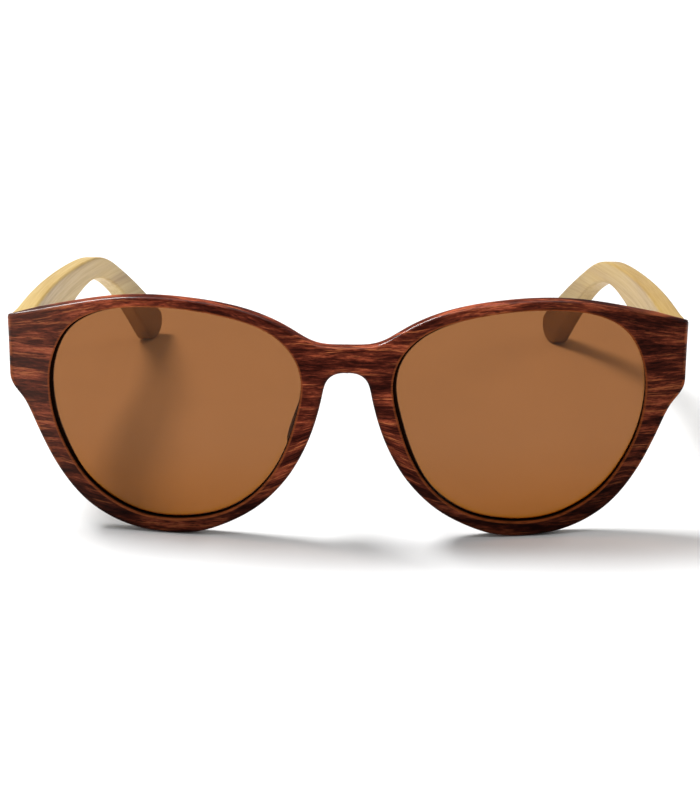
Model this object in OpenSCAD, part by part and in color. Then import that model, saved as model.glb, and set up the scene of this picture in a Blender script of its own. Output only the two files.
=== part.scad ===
// Sunglasses with a wood-grain moulded front, brown tinted lenses and bamboo
// temples on spring hinges. Millimetres. The front faces -Y, +X is the right
// side as seen from the front, +Z is up. The glasses stand open on a table, on
// the bottoms of both rims and on the tips of both temples.
// Inside the modules Y is measured back from the middle of the front face, and
// the whole is moved forward by half of its depth at the end.

/* [Front] */
// Thickness of the moulded front
front_t = 3.2; // [3:0.1:4]
// Radius of the front's wrap, measured on its front face
wrap_r = 300; // [260:10:400]
// Depth from the front face at which the lens starts
lens_recess = 1.2; // [1:0.1:1.3]
// Thickness of each lens
lens_t = 1.1; // [1:0.1:1.3]
// How far the lens edge reaches into the groove of the rim
lens_bite = 0.7; // [0.4:0.1:0.9]
// Clearance between the lens and its groove, all round
lens_gap = 0.04; // [0.02:0.01:0.1]

/* [Hinge] */
// Distance of each hinge pin from the middle plane
pin_x = 65.7; // [65.5:0.05:65.8]
// Depth of each hinge pin behind the front face
pin_y = 16.3; // [16.2:0.1:16.6]
// Height of the middle of each hinge above the table
pin_z = 38.3; // [38:0.1:38.5]
// Radius of the hinge screw's shank
pin_r = 0.6; // [0.5:0.05:0.7]
// Running clearance around the hinge screw
pin_gap = 0.04; // [0.02:0.01:0.08]
// Outer radius of the knuckles
knuckle_r = 1.42; // [1.3:0.02:1.45]
// Half of the height of the middle knuckle
mid_h = 1.6; // [1.4:0.1:1.7]
// Height of each outer knuckle
ear_h = 1.75; // [1.5:0.05:1.9]

/* [Spring] */
// Radius of the wire of the hinge spring
wire_r = 0.13; // [0.1:0.01:0.15]
// Number of turns of the hinge spring
spring_turns = 9; // [6:1:10]
// Radius of the sliding rod inside the spring
rod_r = 0.55; // [0.45:0.01:0.58]

/* [Temple] */
// Thickness of the temple at the hinge
temple_t0 = 4.6; // [4.4:0.1:4.8]
// Thickness of the temple at its tip
temple_t1 = 3.4; // [3:0.1:4]
// Radius of the rounded temple tip, seen from the side
tip_r = 4.3; // [4.1:0.1:4.5]

/* [Hidden] */

// Half of the depth of the open glasses: the origin is under the middle
depth_half = 67;
// Rear plane of the end pieces, on which the hinge leaves lie
land_y = 14;
// Gap between that plane and the front end of an open temple
temple_gap = 0.15;
// Side of each end block nearest to the lens, and its outer side
block_x0 = 64.3;
block_x1 = 71.9;
// Inner face of the temple at the hinge
temple_in = 67.3;
// Thickness of the hinge leaf
leaf_t = 0.8;
// Spring housing: front end, end of its front wall, rear end
house_y0 = 18.05;
wall_y = 20.2;
house_y1 = 29.4;
// Radius of the spring's chamber
chamber_r = 1.08;
// Front face of the retainer on the rod's rear end, and its rear face
ret_y0 = 25.8;
ret_y1 = 26.6;
ear_z0 = mid_h + 0.05;
// Places of the two screws that hold the housing to the temple
screw_ys = [31.2, 34.3];

wood = [0.30, 0.13, 0.09];
bamboo = [0.84, 0.72, 0.51];
tint = [0.62, 0.40, 0.24, 0.7];
steel = [0.75, 0.75, 0.76];

// ---- Curves through points chosen by hand ----
// Smooth cubic curve that passes close to every point, with equal continuity of
// bend: each point is pushed out by a sixth of its second difference.
function pull(P, i) = P[i] - (P[i - 1] - 2 * P[i] + P[i + 1]) / 6;
function bspl(a, b, c, d, u) =
    (a * pow(1 - u, 3) + b * (3 * pow(u, 3) - 6 * u * u + 4)
     + c * (-3 * pow(u, 3) + 3 * u * u + 3 * u + 1) + d * pow(u, 3)) / 6;
// The list has two extra points at each end, which only steer the ends.
function open_curve(P, n) =
    [for (i = [2 : len(P) - 4], k = [0 : n - 1])
        bspl(pull(P, i - 1), pull(P, i), pull(P, i + 1), pull(P, i + 2), k / n)];
function closed_curve(P, n) =
    let (m = len(P), Q = concat([P[m - 2], P[m - 1]], P, [P[0], P[1], P[2]]))
    open_curve(Q, n);
function ends(P) = let (m = len(P))
    concat([3 * P[0] - 2 * P[1], 2 * P[0] - P[1]], P, [2 * P[m - 1] - P[m - 2], 3 * P[m - 1] - 2 * P[m - 2]]);
// The same for a curve that starts on the middle plane and is mirrored there
function from_mid(P) = let (m = len(P))
    concat([[-P[2][0], P[2][1]], [-P[1][0], P[1][1]]], P, [2 * P[m - 1] - P[m - 2], 3 * P[m - 1] - 2 * P[m - 2]]);
function flip(P) = [for (i = [len(P) - 1 : -1 : 0]) [-P[i][0], P[i][1]]];
function unit(v) = v / norm(v);
// A closed outline moved outwards by d, point by point
function grow(P, d) = let (m = len(P))
    [for (i = [0 : m - 1]) let (t = unit(P[(i + 1) % m] - P[(i + m - 1) % m])) P[i] + d * [t[1], -t[0]]];

// ---- Outlines seen from the front, as X and Z, right half ----
brow = [[0, 43.65], [4.5, 43.7], [8.1, 44.75], [12.0, 47.2], [16.5, 49.45], [21.6, 51.2], [27.2, 52.35],
        [32.8, 53.0], [38.4, 53.3], [44, 53.15], [49.5, 52.55], [55.1, 51.45], [60.1, 50.25], [65.1, 48.95], [70.3, 47.7]];
side = [[71.2, 47.5], [71.55, 47.3], [71.7, 46.9], [71.85, 34.0], [71.75, 33.0]];
belly = [[71.45, 32.1], [70.85, 31.0], [69.9, 29.8], [68.8, 28.2], [67.7, 25.8], [66.4, 22.5], [65.1, 19.5],
         [63.45, 16.0], [61.5, 12.65], [59.15, 9.35], [56.05, 6.1], [52.2, 3.45], [47.7, 1.45], [42.6, 0.3], [37, 0],
         [31.5, 0.6], [26.6, 2.45], [22.0, 4.85], [18.1, 7.7], [14.85, 11.0], [12.2, 14.4], [10.1, 18.0], [8.35, 21.7],
         [7.0, 25.4], [5.95, 29.1], [5.15, 32.5], [4.35, 35.75], [2.35, 37.45], [0, 37.7]];
// Belly runs towards the middle plane, so its mirror point is at its end
function to_mid(P) = let (m = len(P))
    concat([3 * P[0] - 2 * P[1], 2 * P[0] - P[1]], P, [[-P[m - 2][0], P[m - 2][1]], [-P[m - 3][0], P[m - 3][1]]]);
brow_pts = concat(open_curve(from_mid(brow), 3), [brow[len(brow) - 1]]);
belly_pts = [for (p = open_curve(to_mid(belly), 2)) [p[0], max(0, p[1])]];
half = concat(brow_pts, side, belly_pts, [belly[len(belly) - 1]]);
outline = concat(half, [for (i = [len(half) - 2 : -1 : 1]) [-half[i][0], half[i][1]]]);

// Edge of the right opening at the front face
eye = [[63.25, 31.5], [62.65, 37.3], [60.7, 42.5], [57.3, 46.8], [51.25, 49.8], [44.05, 50.85], [37, 51.05], [29.9, 50.35],
       [22.95, 48.95], [17.0, 46.75], [12.35, 42.8], [9.95, 37.8], [9.75, 32.4], [10.95, 26.9], [12.75, 20.8], [15.9, 14.5],
       [20.3, 9.35], [25.8, 5.75], [31.7, 4.0], [38, 3.4], [44.2, 4.15], [49.9, 6.65], [55.05, 10.6], [59.0, 16.2], [62.2, 23.6]];
eye_pts = closed_curve([for (i = [len(eye) - 1 : -1 : 0]) eye[i]], 3);

// ---- Temple: side view as Y and Z, plan as Y and X of its outer face ----
temple_top = [[14.15, 45.6], [30, 43.85], [45, 41.85], [60, 39.65], [74, 37.5], [85, 35.75], [93, 34.05], [100, 31.6],
              [106, 28.4], [112, 24.5], [118, 20.2], [125, 14.4], [132.6, 7.45]];
temple_low = [[14.15, 32.8], [30, 31.5], [45, 30.6], [60, 30.1], [74, 30.0], [85, 29.8], [92, 28.7], [99, 26.3],
              [105, 23.0], [110.5, 19.0], [116, 13.9], [121, 8.4], [126.7, 1.25]];
temple_plan = [[14.15, 71.9], [30, 71.8], [50, 71.4], [70, 70.2], [90, 67.7], [110, 63.4], [122, 59.8], [136, 54.8]];

module slab(pts, y0, y1) {
    // Extrudes an X-Z outline along Y
    translate([0, y1, 0]) rotate([90, 0, 0]) linear_extrude(height = y1 - y0, convexity = 6) polygon(pts);
}
module wrap_disc(depth) {
    // Everything behind the wrapped face that lies the given depth behind the front face
    translate([0, wrap_r, -5]) cylinder(r = wrap_r - depth, h = 70, $fn = 720);
}
module both_eyes(d, y0, y1) {
    // The outline moved outwards by d, both sides
    slab(grow(eye_pts, -d), y0, y1);
    mirror([1, 0, 0]) slab(grow(eye_pts, -d), y0, y1);
}
module on_side(s) { if (s < 0) mirror([1, 0, 0]) children(); else children(); }
module placed() { translate([0, -depth_half, 0]) children(); }
module along_y(r, y0, y1, n) { translate([0, y0, 0]) rotate([-90, 0, 0]) cylinder(r = r, h = y1 - y0, $fn = n); }
module along_x(r, x0, x1, n) { translate([x0, 0, 0]) rotate([0, 90, 0]) cylinder(r = r, h = x1 - x0, $fn = n); }

module end_block() {
    // Block behind each end of the front, which carries the hinge; its top slopes to the rear
    translate([block_x0, 0, 0]) rotate([90, 0, 90]) linear_extrude(height = block_x1 - block_x0)
        polygon([[9.6, 32.5], [land_y, 32.5], [land_y, 46.0], [9.6, 46.8]]);
}
module end_slope() {
    // What lies above the plane that slopes the top of each end down to the rear and outwards
    translate([71, 9.1, 47.45]) rotate(a = 24.13, v = [-0.357, 0.27, 0]) translate([-30, -30, 0]) cube([60, 60, 20]);
}
module leaf_hole() {
    // Pocket for the hinge leaf, and pilot holes for its screws
    translate([block_x0 - 1, land_y - leaf_t, pin_z - 5.05]) cube([7.75, 2, 10.1]);
    for (dz = [-3.2, 3.2]) translate([69.2, 0, pin_z + dz]) along_y(0.52, 10.4, land_y, 32);
}

module front_frame() {
    color(wood) difference() {
        union() {
            intersection() {
                difference() { wrap_disc(0); wrap_disc(front_t); }
                slab(outline, -1, 16);
            }
            for (s = [-1, 1]) on_side(s) end_block();
        }
        both_eyes(0, -2, 20);
        intersection() {
            difference() { wrap_disc(lens_recess - lens_gap); wrap_disc(lens_recess + lens_t + lens_gap); }
            both_eyes(lens_bite + lens_gap, -2, 20);
        }
        for (s = [-1, 1]) on_side(s) { leaf_hole(); end_slope(); }
    }
}

module lens() {
    color(tint) intersection() {
        difference() { wrap_disc(lens_recess); wrap_disc(lens_recess + lens_t); }
        slab(grow(eye_pts, -lens_bite), -2, 20);
    }
}

module nose_pad() {
    // Bonded pad on the rear of the rim beside the nose, splayed outwards towards the rear
    color(wood) intersection() {
        hull() {
            for (p = [[7.0, 3.6, 33.4, 1.2], [8.1, 3.6, 27.4, 1.4], [10.4, 3.6, 21.4, 1.2],
                      [8.1, 6.4, 32.2, 0.9], [9.8, 7.2, 26.8, 1.1], [11.6, 6.4, 22.0, 0.9]])
                translate([p[0], p[1], p[2]]) sphere(r = p[3], $fn = 24);
        }
        wrap_disc(front_t);
    }
}

module knuckle(z0, z1, r_hole) {
    // One knuckle on the leaf, with the web that joins it to the plate
    difference() {
        union() {
            translate([pin_x, pin_y, z0]) cylinder(r = knuckle_r, h = z1 - z0, $fn = 48);
            translate([pin_x - knuckle_r, land_y - leaf_t, z0]) cube([2 * knuckle_r, pin_y - land_y + leaf_t, z1 - z0]);
        }
        translate([pin_x, pin_y, z0 - 1]) cylinder(r = r_hole, h = z1 - z0 + 2, $fn = 48);
    }
}

module front_hinge_leaf() {
    color(steel) difference() {
        union() {
            // 6.7 by 10 plate let into the rear of the end piece
            translate([block_x0, land_y - leaf_t + 0.02, pin_z - 5]) cube([6.7, leaf_t - 0.02, 10]);
            knuckle(pin_z + ear_z0, pin_z + ear_z0 + ear_h, pin_r + pin_gap);
            knuckle(pin_z - ear_z0 - ear_h, pin_z - ear_z0, pin_r + pin_gap);
        }
        // Seat of the hinge screw's head
        translate([pin_x, pin_y, pin_z + ear_z0 + ear_h - 0.6]) cylinder(r = 1.06, h = 2, $fn = 48);
        for (dz = [-3.2, 3.2]) translate([69.2, 0, pin_z + dz]) {
            along_y(0.56, 12, 15, 32);
            along_y(0.96, land_y - 0.45, 15, 32);
        }
    }
}

module slotted_head(r, h, slot_w, slot_d) {
    // Screw head along +Z with a straight slot, its flat face at the top
    difference() {
        cylinder(r = r, h = h, $fn = 48);
        translate([-slot_w / 2, -r - 1, h - slot_d]) cube([slot_w, 2 * r + 2, slot_d + 1]);
    }
}

module front_leaf_screws() {
    color(steel) for (dz = [-3.2, 3.2]) translate([69.2, 0, pin_z + dz]) {
        along_y(0.5, 10.6, land_y - 0.43, 32);
        translate([0, land_y - 0.43, 0]) rotate([-90, 0, 0]) slotted_head(0.92, 0.4, 0.25, 0.2);
    }
}

module hinge_screw() {
    color(steel) translate([pin_x, pin_y, 0]) {
        translate([0, 0, pin_z - ear_z0 - ear_h + 0.1]) cylinder(r = pin_r, h = 2 * ear_z0 + 2 * ear_h - 0.68, $fn = 48);
        translate([0, 0, pin_z + ear_z0 + ear_h - 0.58]) slotted_head(1.02, 0.56, 0.28, 0.28);
    }
}

module temple() {
    top_pts = concat(open_curve(ends(temple_top), 3), [temple_top[len(temple_top) - 1]]);
    low_pts = concat(open_curve(ends(temple_low), 3), [temple_low[len(temple_low) - 1]]);
    tip_pts = [for (a = [36 : -9 : -126]) [134 - tip_r + tip_r * cos(a), tip_r + tip_r * sin(a)]];
    plan = concat(open_curve(ends(temple_plan), 3), [temple_plan[len(temple_plan) - 1]]);
    // Thickness falls evenly from the hinge to the tip
    inner = [for (p = plan) [p[0], p[1] - (temple_t0 - (temple_t0 - temple_t1) * (p[0] - 14) / 120)
                                   - (p[0] < 45 ? 0 : 0.0008 * pow(p[0] - 45, 1.5))]];
    color(bamboo) difference() {
        intersection() {
            translate([40, 0, 0]) rotate([90, 0, 90]) linear_extrude(height = 40)
                polygon(concat(top_pts, tip_pts, [for (i = [len(low_pts) - 1 : -1 : 0]) low_pts[i]]));
            translate([0, 0, -2]) linear_extrude(height = 60)
                polygon([for (p = concat(plan, [for (i = [len(inner) - 1 : -1 : 0]) inner[i]])) [p[1], p[0]]]);
        }
        // Recess for the plate of the spring housing, and pilot holes for its screws
        translate([temple_in - 3, 18.9, pin_z - 2.35]) cube([3.75, 17.2, 4.7]);
        translate([0, 0, pin_z]) for (y = screw_ys) translate([0, y, 0]) along_x(0.47, temple_in, 70.6, 32);
        // Trims the inner face square to the hinge around the front end
        translate([60, 14, 25]) cube([temple_in - 60, 5, 25]);
    }
}

module spring_housing() {
    // Box with the spring chamber, and the plate that is screwed to the temple
    color(steel) difference() {
        union() {
            translate([pin_x - 1.45, house_y0, pin_z - mid_h]) cube([temple_in - pin_x + 1.5, house_y1 - house_y0, 2 * mid_h]);
            translate([temple_in + 0.03, 19, pin_z - 2.3]) cube([0.7, 17, 4.6]);
        }
        translate([pin_x, 0, pin_z]) {
            along_y(rod_r + 0.05, house_y0 - 1, wall_y + 1, 48);
            along_y(chamber_r, wall_y, house_y1 - 0.8, 48);
        }
        translate([0, 0, pin_z]) for (y = screw_ys) translate([0, y, 0]) along_x(0.5, temple_in - 1, 69, 32);
    }
}

module housing_screws() {
    color(steel) for (y = screw_ys) translate([0, y, pin_z]) {
        along_x(0.45, temple_in, 70.4, 32);
        translate([temple_in + 0.02, 0, 0]) rotate([0, -90, 0]) slotted_head(0.95, 0.5, 0.26, 0.25);
    }
}

module hinge_slider() {
    // Middle knuckle on a rod that slides in the housing
    color(steel) difference() {
        union() {
            translate([pin_x, pin_y, pin_z - mid_h]) cylinder(r = knuckle_r - 0.02, h = 2 * mid_h, $fn = 48);
            translate([pin_x - 1.2, pin_y, pin_z - mid_h + 0.2]) cube([2.4, house_y0 - pin_y - 0.05, 2 * mid_h - 0.4]);
            translate([pin_x, 0, pin_z]) along_y(rod_r, pin_y + 1, ret_y1 + 0.3, 48);
        }
        translate([pin_x, pin_y, pin_z - 5]) cylinder(r = pin_r + pin_gap, h = 10, $fn = 48);
    }
}

module spring_retainer() {
    color(steel) translate([pin_x, 0, pin_z]) difference() {
        along_y(0.98, ret_y0, ret_y1, 48);
        along_y(rod_r + 0.02, ret_y0 - 1, ret_y1 + 1, 48);
    }
}

module hinge_spring() {
    // Coil wound around the rod, between the housing's front wall and the retainer
    sides = 6;
    per = 12;
    rings = spring_turns * per;
    y0 = wall_y + wire_r + 0.02;
    y1 = ret_y0 - wire_r - 0.02;
    mean = 0.80;
    slope = atan((y1 - y0) / spring_turns / (2 * PI * mean));
    pts = [for (i = [0 : rings], k = [0 : sides - 1])
        let (a = 360 * i / per, b = 360 * k / sides,
             c = [mean * cos(a), y0 + (y1 - y0) * i / rings, mean * sin(a)],
             n = [cos(a), 0, sin(a)],
             w = [sin(a) * sin(slope), cos(slope), -cos(a) * sin(slope)])
        c + wire_r * (cos(b) * n + sin(b) * w)];
    last = rings * sides;
    faces = concat(
        [[for (k = [0 : sides - 1]) k]],
        [for (i = [0 : rings - 1], k = [0 : sides - 1])
            [i * sides + k, (i + 1) * sides + k, (i + 1) * sides + (k + 1) % sides]],
        [for (i = [0 : rings - 1], k = [0 : sides - 1])
            [i * sides + k, (i + 1) * sides + (k + 1) % sides, i * sides + (k + 1) % sides]],
        [[for (k = [sides - 1 : -1 : 0]) last + k]]);
    color(steel) translate([pin_x, 0, pin_z]) polyhedron(points = pts, faces = faces, convexity = 10);
}

placed() front_frame();
placed() on_side(-1) lens();  // lens_left
placed() on_side(1) lens();  // lens_right
placed() on_side(-1) nose_pad();  // nose_pad_left
placed() on_side(1) nose_pad();  // nose_pad_right
placed() on_side(-1) front_hinge_leaf();  // front_hinge_leaf_left
placed() on_side(1) front_hinge_leaf();  // front_hinge_leaf_right
placed() on_side(-1) front_leaf_screws();  // front_leaf_screws_left
placed() on_side(1) front_leaf_screws();  // front_leaf_screws_right
placed() on_side(-1) hinge_screw();  // hinge_screw_left
placed() on_side(1) hinge_screw();  // hinge_screw_right
placed() on_side(-1) temple();  // temple_left
placed() on_side(1) temple();  // temple_right
placed() on_side(-1) spring_housing();  // spring_housing_left
placed() on_side(1) spring_housing();  // spring_housing_right
placed() on_side(-1) housing_screws();  // housing_screws_left
placed() on_side(1) housing_screws();  // housing_screws_right
placed() on_side(-1) hinge_slider();  // hinge_slider_left
placed() on_side(1) hinge_slider();  // hinge_slider_right
placed() on_side(-1) hinge_spring();  // hinge_spring_left
placed() on_side(1) hinge_spring();  // hinge_spring_right
placed() on_side(-1) spring_retainer();  // spring_retainer_left
placed() on_side(1) spring_retainer();  // spring_retainer_right
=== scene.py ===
import math

import bmesh
import bpy
import numpy as np
from mathutils import Matrix, Vector
from mathutils.geometry import delaunay_2d_cdt


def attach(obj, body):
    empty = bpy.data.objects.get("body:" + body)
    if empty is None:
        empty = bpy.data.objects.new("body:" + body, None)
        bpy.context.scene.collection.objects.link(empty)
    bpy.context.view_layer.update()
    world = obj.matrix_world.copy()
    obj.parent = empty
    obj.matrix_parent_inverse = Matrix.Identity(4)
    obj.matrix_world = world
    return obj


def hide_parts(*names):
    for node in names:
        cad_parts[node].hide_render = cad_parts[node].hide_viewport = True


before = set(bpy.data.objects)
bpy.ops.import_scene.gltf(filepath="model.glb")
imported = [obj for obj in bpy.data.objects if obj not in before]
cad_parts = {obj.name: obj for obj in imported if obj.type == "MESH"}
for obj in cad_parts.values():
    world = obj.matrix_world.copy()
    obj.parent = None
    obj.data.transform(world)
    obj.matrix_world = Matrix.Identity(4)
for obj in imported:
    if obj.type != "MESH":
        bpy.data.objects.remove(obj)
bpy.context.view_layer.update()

# Sunglasses: a wood-grain moulded front with brown lenses, and bamboo temples.
# Shapes are worked out in millimetres, with Y measured back from the middle of
# the front face, and moved into the row frame (metres) when a mesh is made.
MM = 0.001
DEPTH_HALF = 67.0
SIDES = ((-1, "left"), (1, "right"))

# ---------------------------------------------------------------- sizes
WRAP_R = 300.0
FRONT_T = 3.2
LENS_RECESS, LENS_T, LENS_BITE, LENS_GAP = 1.2, 1.1, 0.7, 0.04
PIN_X, PIN_Y, PIN_Z = 65.7, 16.3, 38.3
LAND_Y, LEAF_T = 14.0, 0.8
BLOCK_X0, BLOCK_X1 = 64.3, 71.9
TEMPLE_IN, TEMPLE_T0, TEMPLE_T1, TIP_R = 67.3, 4.6, 3.4, 4.3

BROW = [(0, 43.65), (4.5, 43.7), (8.1, 44.75), (12.0, 47.2), (16.5, 49.45), (21.6, 51.2), (27.2, 52.35),
        (32.8, 53.0), (38.4, 53.3), (44, 53.15), (49.5, 52.55), (55.1, 51.45), (60.1, 50.25), (65.1, 48.95), (70.3, 47.7)]
SIDE = [(71.2, 47.5), (71.55, 47.3), (71.7, 46.9), (71.85, 34.0), (71.75, 33.0)]
BELLY = [(71.45, 32.1), (70.85, 31.0), (69.9, 29.8), (68.8, 28.2), (67.7, 25.8), (66.4, 22.5), (65.1, 19.5),
         (63.45, 16.0), (61.5, 12.65), (59.15, 9.35), (56.05, 6.1), (52.2, 3.45), (47.7, 1.45), (42.6, 0.3), (37, 0),
         (31.5, 0.6), (26.6, 2.45), (22.0, 4.85), (18.1, 7.7), (14.85, 11.0), (12.2, 14.4), (10.1, 18.0), (8.35, 21.7),
         (7.0, 25.4), (5.95, 29.1), (5.15, 32.5), (4.35, 35.75), (2.35, 37.45), (0, 37.7)]
EYE = [(63.25, 31.5), (62.65, 37.3), (60.7, 42.5), (57.3, 46.8), (51.25, 49.8), (44.05, 50.85), (37, 51.05), (29.9, 50.35),
       (22.95, 48.95), (17.0, 46.75), (12.35, 42.8), (9.95, 37.8), (9.75, 32.4), (10.95, 26.9), (12.75, 20.8), (15.9, 14.5),
       (20.3, 9.35), (25.8, 5.75), (31.7, 4.0), (38, 3.4), (44.2, 4.15), (49.9, 6.65), (55.05, 10.6), (59.0, 16.2), (62.2, 23.6)]
TEMPLE_TOP = [(14.15, 45.6), (30, 43.85), (45, 41.85), (60, 39.65), (74, 37.5), (85, 35.75), (93, 34.05), (100, 31.6),
              (106, 28.4), (112, 24.5), (118, 20.2), (125, 14.4), (132.6, 7.45)]
TEMPLE_LOW = [(14.15, 32.8), (30, 31.5), (45, 30.6), (60, 30.1), (74, 30.0), (85, 29.8), (92, 28.7), (99, 26.3),
              (105, 23.0), (110.5, 19.0), (116, 13.9), (121, 8.4), (126.7, 1.25)]
TEMPLE_PLAN = [(14.15, 71.9), (30, 71.8), (50, 71.4), (70, 70.2), (90, 67.7), (110, 63.4), (122, 59.8), (136, 54.8)]


# ---------------------------------------------------------------- curves
def pulled(P, i):
    return P[i] - (P[i - 1] - 2 * P[i] + P[i + 1]) / 6


def open_curve(P, n):
    """Smooth cubic curve close to every point; two extra points at each end only steer it."""
    P = np.array(P, float)
    u = (np.arange(n) / n)[:, None]
    out = []
    for i in range(2, len(P) - 3):
        a, b, c, d = (pulled(P, k) for k in (i - 1, i, i + 1, i + 2))
        out.append((a * (1 - u) ** 3 + b * (3 * u ** 3 - 6 * u * u + 4)
                    + c * (-3 * u ** 3 + 3 * u * u + 3 * u + 1) + d * u ** 3) / 6)
    return np.vstack(out)


def closed_curve(P, n):
    return open_curve(list(P[-2:]) + list(P) + list(P[:3]), n)


def steered(P):
    P = np.array(P, float)
    return np.vstack([3 * P[0] - 2 * P[1], 2 * P[0] - P[1], P, 2 * P[-1] - P[-2], 3 * P[-1] - 2 * P[-2]])


def through(P, n):
    return np.vstack([open_curve(steered(P), n), np.array(P[-1], float)[None]])


def brow_line(n):
    P = np.array(BROW, float)
    Q = np.vstack([[-P[2][0], P[2][1]], [-P[1][0], P[1][1]], P, 2 * P[-1] - P[-2], 3 * P[-1] - 2 * P[-2]])
    return np.vstack([open_curve(Q, n), P[-1][None]])


def belly_line(n):
    P = np.array(BELLY, float)
    Q = np.vstack([3 * P[0] - 2 * P[1], 2 * P[0] - P[1], P, [-P[-2][0], P[-2][1]], [-P[-3][0], P[-3][1]]])
    c = open_curve(Q, n)
    c[:, 1] = np.maximum(c[:, 1], 0)
    return np.vstack([c, P[-1][None]])


def even(loop, step, keep=()):
    """A closed loop with its points spread evenly, about step apart."""
    L = np.vstack([loop, loop[:1]])
    s = np.r_[0, np.cumsum(np.hypot(*np.diff(L, axis=0).T))]
    n = max(8, int(round(s[-1] / step)))
    t = np.linspace(0, s[-1], n, endpoint=False)
    return np.stack([np.interp(t, s, L[:, 0]), np.interp(t, s, L[:, 1])], 1)


def area_of(loop):
    x, y = loop.T
    return 0.5 * float((x * np.roll(y, -1) - np.roll(x, -1) * y).sum())


def inward(loop):
    """Unit directions into the area that a loop surrounds, with the corner's stretch."""
    if area_of(loop) < 0:
        return inward(loop[::-1])[::-1]
    e = np.roll(loop, -1, 0) - loop
    e /= np.maximum(np.hypot(*e.T), 1e-9)[:, None]
    n = np.stack([-e[:, 1], e[:, 0]], 1)
    b = n + np.roll(n, 1, 0)
    b /= np.maximum(np.hypot(*b.T), 1e-9)[:, None]
    return b / np.clip((b * n).sum(1), 0.5, 1)[:, None]


def distance(P, loop):
    A = loop
    AB = np.roll(loop, -1, 0) - A
    LL = np.maximum((AB ** 2).sum(1), 1e-12)
    out = np.empty(len(P))
    for i in range(0, len(P), 1500):
        p = P[i:i + 1500, None]
        t = np.clip(((p - A) * AB).sum(2) / LL, 0, 1)
        q = p - A - t[..., None] * AB
        out[i:i + 1500] = np.sqrt((q ** 2).sum(2).min(1))
    return out


def within(P, loop):
    x, y = P.T
    inside = np.zeros(len(P), bool)
    for (x0, y0), (x1, y1) in zip(loop, np.roll(loop, -1, 0)):
        if y0 != y1:
            inside ^= ((y0 > y) != (y1 > y)) & (x < (x1 - x0) * (y - y0) / (y1 - y0) + x0)
    return inside


def rounded(points, radii, n=6):
    """A polygon with each corner rounded by its own radius."""
    P, out = np.array(points, float), []
    m = len(P)
    for i in range(m):
        a, b, c, r = P[i - 1], P[i], P[(i + 1) % m], radii[i]
        if r <= 0:
            out.append(b)
            continue
        u, v = (a - b) / np.hypot(*(a - b)), (c - b) / np.hypot(*(c - b))
        half = math.acos(max(-1, min(1, float(u @ v)))) / 2
        t = r / math.tan(half)
        w = (u + v) / np.hypot(*(u + v))
        centre = b + w * r / math.sin(half)
        s, e = b + u * t - centre, b + v * t - centre
        a0, a1 = math.atan2(s[1], s[0]), math.atan2(e[1], e[0])
        d = (a1 - a0 + math.pi) % (2 * math.pi) - math.pi
        out += [centre + r * np.array([math.cos(a0 + d * k / n), math.sin(a0 + d * k / n)]) for k in range(n + 1)]
    return np.array(out)


# ---------------------------------------------------------------- meshes
def without_slivers(Q, T):
    """Leaves out flat triangles that lie along the outside of a straight edge."""
    for _ in range(12):
        a, b, c = (Q[T[:, k]] for k in range(3))
        flat = np.abs((b[:, 0] - a[:, 0]) * (c[:, 1] - a[:, 1]) - (b[:, 1] - a[:, 1]) * (c[:, 0] - a[:, 0])) < 1e-4
        E = np.sort(np.stack([T[:, [0, 1]], T[:, [1, 2]], T[:, [2, 0]]], 1), 2)
        span = Q[E[..., 0]] - Q[E[..., 1]]
        far = np.hypot(span[..., 0], span[..., 1]).argmax(1)
        key = E[..., 0] * (len(Q) + 1) + E[..., 1]
        ids, count = np.unique(key, return_counts=True)
        drop = flat & (count[np.searchsorted(ids, key[np.arange(len(T)), far])] == 1)
        if not drop.any():
            break
        T = T[~drop]
    return T


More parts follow.
